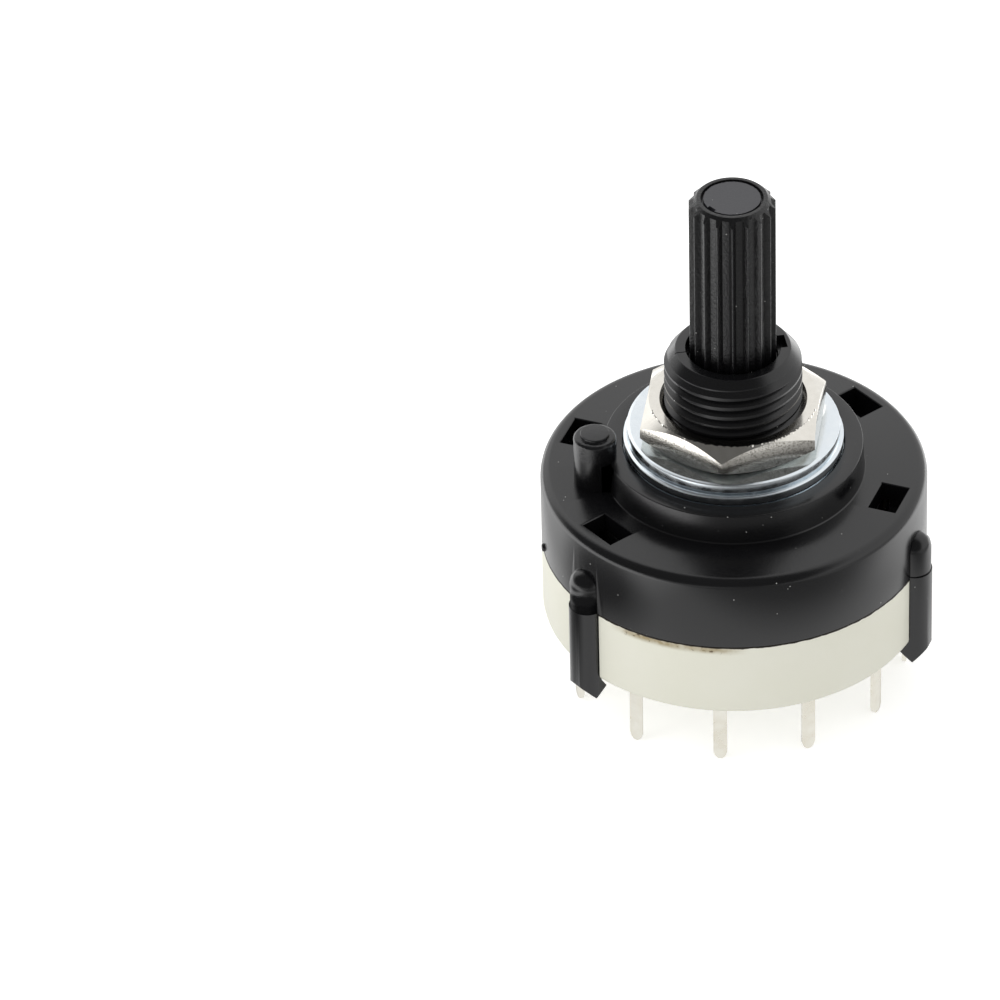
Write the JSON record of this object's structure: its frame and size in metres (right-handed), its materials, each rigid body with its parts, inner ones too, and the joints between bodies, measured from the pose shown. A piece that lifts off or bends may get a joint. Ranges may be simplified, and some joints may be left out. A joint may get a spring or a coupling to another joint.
{
  "type": "rotary wafer switch",
  "caption": "Panel-mount rotary wafer switch: round black housing clipped to a white terminal base, threaded bush, locating peg, splined shaft, sprung-ball detent and solder pins.",
  "frame": {"origin": "on the shaft's axis at the collar's seat, where the panel's underside rests", "axes": "+Z along the shaft towards the knob, -X towards the locating peg"},
  "size_m": [0.0269, 0.0276, 0.0386],
  "materials": {
    "housing_plastic": "satin charcoal-black moulding",
    "base_plastic": "satin cream moulding",
    "shaft_plastic": "satin black moulding",
    "spring_steel": "drawn wire",
    "ball_steel": "polished",
    "contact_brass": "spring brass",
    "pin_metal": "tin plated",
    "washer_zinc": "bluish zinc plating",
    "nut_nickel": "bright nickel plating"
  },
  "bodies": {
    "body": {"housing": "housing_plastic", "terminal_base": "base_plastic", "common_contact": "pin_metal", "terminal_01": "pin_metal", "terminal_02": "pin_metal", "terminal_03": "pin_metal", "terminal_04": "pin_metal", "terminal_05": "pin_metal", "terminal_06": "pin_metal", "terminal_07": "pin_metal", "terminal_08": "pin_metal", "terminal_09": "pin_metal", "terminal_10": "pin_metal", "terminal_11": "pin_metal", "terminal_12": "pin_metal", "stop_ring": "washer_zinc", "washer_lower": "washer_zinc", "washer_upper": "washer_zinc", "nut": "nut_nickel"},
    "rotor": {"shaft": "shaft_plastic", "wiper": "contact_brass", "detent_spring": "spring_steel"},
    "ball_1": {"detent_ball_1": "ball_steel"},
    "ball_2": {"detent_ball_2": "ball_steel"}
  },
  "joints": [
    {"name": "shaft_turn", "type": "hinge", "parent": "body", "child": "rotor", "pos_m": [0, 0, 0], "axis": [0, 0, -1], "range_deg": [0, 330]},
    {"name": "ball_1_slide", "type": "slide", "parent": "rotor", "child": "ball_1", "axis": [0.2588, 0.9659, 0], "range_m": [0, 0.0004], "stiffness_N_per_m": 1000, "deforming": ["detent_spring"]},
    {"name": "ball_2_slide", "type": "slide", "parent": "rotor", "child": "ball_2", "axis": [-0.2588, -0.9659, 0], "range_m": [0, 0.0004], "stiffness_N_per_m": 1000}
  ]
}
